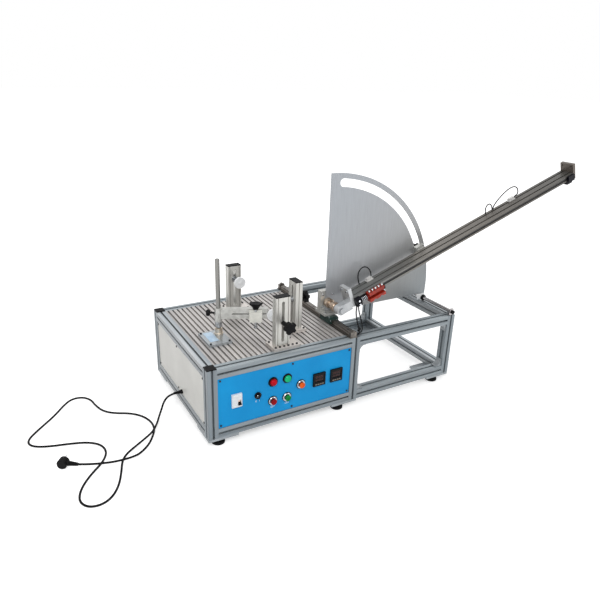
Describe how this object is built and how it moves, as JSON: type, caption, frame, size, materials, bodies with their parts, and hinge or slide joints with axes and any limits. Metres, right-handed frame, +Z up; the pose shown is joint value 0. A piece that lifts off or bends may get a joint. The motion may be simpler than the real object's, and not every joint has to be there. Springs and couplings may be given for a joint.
{
  "type": "cord reel endurance tester",
  "caption": "Bench machine on a slotted aluminium frame that pulls a cord out of a reel along a tilting arm with a travelling gripper, beside a T-slot table with reel clamps.",
  "frame": {"origin": "Centre of the bounding box's base, on the floor, without the mains cord, its plug and its gland.", "axes": "+X to the right along the front, the way the arm reaches; +Y from the front to the back; +Z up."},
  "size_m": [2.5691, 0.7624, 0.9519],
  "materials": {
    "anodised_profile": "satin",
    "die_cast": "satin",
    "table_aluminium": "satin",
    "foot_plate_metal": "satin",
    "foot_rubber": "matte",
    "cabinet_white": "satin",
    "panel_blue": "satin",
    "screw_steel": "satin",
    "breaker_white": "matte",
    "bezel_chrome": "polished",
    "red_plastic": "gloss",
    "green_plastic": "gloss",
    "orange_plastic": "gloss",
    "key_steel": "polished",
    "black_plastic": "matte",
    "module_grey": "satin",
    "column_aluminium": "satin",
    "bright_steel": "satin",
    "white_nylon": "matte",
    "block_green": "satin",
    "plate_aluminium": "satin",
    "quadrant_aluminium": "satin",
    "bronze": "satin",
    "belt_rubber": "matte",
    "drive_dark": "satin",
    "gripper_orange": "satin",
    "sensor_white": "matte",
    "cord_black": "matte"
  },
  "bodies": {
    "machine_frame": {"frame_posts": "anodised_profile", "long_rails": "anodised_profile", "cross_rails": "anodised_profile", "corner_gussets": "die_cast", "foot_plates": "foot_plate_metal", "leveling_feet": "foot_rubber", "cabinet_panels": "cabinet_white", "control_panel": "panel_blue", "panel_screws": "screw_steel", "breaker_body": "breaker_white", "switch_bezels": "bezel_chrome", "red_lamp_lens": "red_plastic", "green_lamp_lens": "green_plastic", "counter_displays": "black_plastic", "control_modules": "module_grey", "worktable": "table_aluminium", "end_caps": "black_plastic", "fixture_columns": "column_aluminium", "post_stand": "bright_steel", "linear_rail": "bright_steel", "guide_rod": "bright_steel", "cord_gland": "black_plastic", "mains_cord": "cord_black", "mains_plug": "cord_black"},
    "breaker_toggle": {"breaker_lever": "breaker_white"},
    "selector": {"selector_knob": "key_steel"},
    "red_push": {"red_button": "red_plastic"},
    "green_push": {"green_button": "green_plastic"},
    "orange_push": {"orange_button": "orange_plastic"},
    "traverse_carriage": {"bearing_block": "block_green", "carriage_bracket": "plate_aluminium", "quadrant_plate": "quadrant_aluminium", "rod_bushing": "white_nylon", "pivot_bushing": "bronze"},
    "arm": {"hinge_bar": "plate_aluminium", "arm_end_plates": "plate_aluminium", "arm_beam": "anodised_profile", "drive_belt": "belt_rubber", "belt_drive_units": "drive_dark", "limit_sensors": "sensor_white", "arc_clamp_bracket": "plate_aluminium", "pivot_bolt": "bright_steel"},
    "arc_knob": {"arc_clamp_knob": "black_plastic"},
    "gripper": {"gripper_body": "gripper_orange", "gripper_screws": "bright_steel"},
    "jaw": {"gripper_jaw": "bright_steel"},
    "drive_pulley_rotor": {"drive_pulley": "bright_steel"},
    "idler_pulley_rotor": {"idler_pulley": "bright_steel"},
    "collar": {"stop_collar": "bright_steel"},
    "swing_bar": {"guide_bar": "plate_aluminium"},
    "swing_knob": {"sleeve_knob": "black_plastic"},
    "slider": {"bar_slider": "white_nylon"},
    "spindle": {"hold_down_spindle": "black_plastic"},
    "rear_clamp": {"rear_clamp_shaft": "bright_steel"},
    "rear_disc": {"rear_clamp_disc": "white_nylon"},
    "front_clamp": {"front_clamp_shaft": "bright_steel"},
    "front_disc": {"front_clamp_disc": "white_nylon"},
    "front_knob": {"front_star_knob": "black_plastic"},
    "side_clamp": {"side_clamp_shaft": "bright_steel"},
    "side_knob": {"side_star_knob": "black_plastic"}
  },
  "joints": [
    {"name": "breaker_throw", "type": "hinge", "parent": "machine_frame", "child": "breaker_toggle", "pos_m": [-0.87388, -0.31375, 0.16905], "axis": [-1, 0, 0], "range_deg": [0, 60]},
    {"name": "selector_turn", "type": "hinge", "parent": "machine_frame", "child": "selector", "pos_m": [-0.7899, -0.30935, 0.175], "axis": [0, 1, 0], "range_deg": [0, 90]},
    {"name": "red_button_press", "type": "slide", "parent": "machine_frame", "child": "red_push", "axis": [0, 1, 0], "range_m": [0, 0.004], "stiffness_N_per_m": 500},
    {"name": "green_button_press", "type": "slide", "parent": "machine_frame", "child": "green_push", "axis": [0, 1, 0], "range_m": [0, 0.004], "stiffness_N_per_m": 500},
    {"name": "orange_button_press", "type": "slide", "parent": "machine_frame", "child": "orange_push", "axis": [0, 1, 0], "range_m": [0, 0.004], "stiffness_N_per_m": 500},
    {"name": "traverse", "type": "slide", "parent": "machine_frame", "child": "traverse_carriage", "axis": [0, 1, 0], "range_m": [-0.13, 0.385]},
    {"name": "arm_tilt", "type": "hinge", "parent": "traverse_carriage", "child": "arm", "pos_m": [-0.3619, -0.14235, 0.407], "axis": [0, -1, 0], "range_deg": [-7, 63]},
    {"name": "arc_knob_turn", "type": "hinge", "parent": "arm", "child": "arc_knob", "pos_m": [0.11377, -0.09835, 0.58271], "axis": [0, -1, 0], "range_deg": [0, 360]},
    {"name": "gripper_travel", "type": "slide", "parent": "arm", "child": "gripper", "axis": [0.9444, 0, 0.3289], "range_m": [0, 1.13]},
    {"name": "jaw_clamp", "type": "slide", "parent": "gripper", "child": "jaw", "axis": [0.3289, 0, -0.9444], "range_m": [0, 0.0133]},
    {"name": "drive_pulley_spin", "type": "hinge", "parent": "arm", "child": "drive_pulley_rotor", "pos_m": [-0.27059, -0.19335, 0.44886], "axis": [-0.3289, 0, 0.9444], "range_deg": [0, 5060]},
    {"name": "idler_pulley_spin", "type": "hinge", "parent": "arm", "child": "idler_pulley_rotor", "pos_m": [0.94577, -0.19335, 0.87244], "axis": [-0.3289, 0, 0.9444], "range_deg": [0, 5060]},
    {"name": "collar_lift", "type": "slide", "parent": "machine_frame", "child": "collar", "axis": [0, 0, 1], "range_m": [-0.0075, 0.19]},
    {"name": "bar_swing", "type": "hinge", "parent": "collar", "child": "swing_bar", "pos_m": [-0.8399, -0.05635, 0.42], "axis": [0, 0, 1], "range_deg": [-6, 54]},
    {"name": "sleeve_knob_turn", "type": "hinge", "parent": "swing_bar", "child": "swing_knob", "pos_m": [-0.86731, -0.04415, 0.42726], "axis": [-0.9135, 0.4067, 0], "range_deg": [0, 360]},
    {"name": "slider_travel", "type": "slide", "parent": "swing_bar", "child": "slider", "axis": [0.9135, -0.4067, 0], "range_m": [-0.08, 0.029]},
    {"name": "spindle_press", "type": "slide", "parent": "slider", "child": "spindle", "axis": [0, 0, -1], "range_m": [-0.018, 0.0075]},
    {"name": "rear_clamp_lift", "type": "slide", "parent": "machine_frame", "child": "rear_clamp", "axis": [0, 0, 1], "range_m": [-0.115, 0.035]},
    {"name": "rear_disc_spin", "type": "hinge", "parent": "rear_clamp", "child": "rear_disc", "pos_m": [-0.6799, 0.09765, 0.477], "axis": [0, 1, 0], "continuous": true},
    {"name": "front_clamp_lift", "type": "slide", "parent": "machine_frame", "child": "front_clamp", "axis": [0, 0, 1], "range_m": [-0.073, 0.078]},
    {"name": "front_disc_spin", "type": "hinge", "parent": "front_clamp", "child": "front_disc", "pos_m": [-0.6629, -0.18735, 0.433], "axis": [0, 1, 0], "continuous": true},
    {"name": "front_knob_turn", "type": "hinge", "parent": "front_clamp", "child": "front_knob", "pos_m": [-0.6629, -0.31235, 0.433], "axis": [0, 1, 0], "range_deg": [0, 360]},
    {"name": "side_clamp_lift", "type": "slide", "parent": "machine_frame", "child": "side_clamp", "axis": [0, 0, 1], "range_m": [-0.098, 0.052]},
    {"name": "side_knob_turn", "type": "hinge", "parent": "side_clamp", "child": "side_knob", "pos_m": [-0.4819, -0.12235, 0.459], "axis": [1, 0, 0], "range_deg": [0, 360]}
  ],
  "couplings": [
    {"joint": "drive_pulley_spin", "follows": "gripper_travel", "rad_per_m": 78.125},
    {"joint": "idler_pulley_spin", "follows": "gripper_travel", "rad_per_m": 78.125}
  ]
}
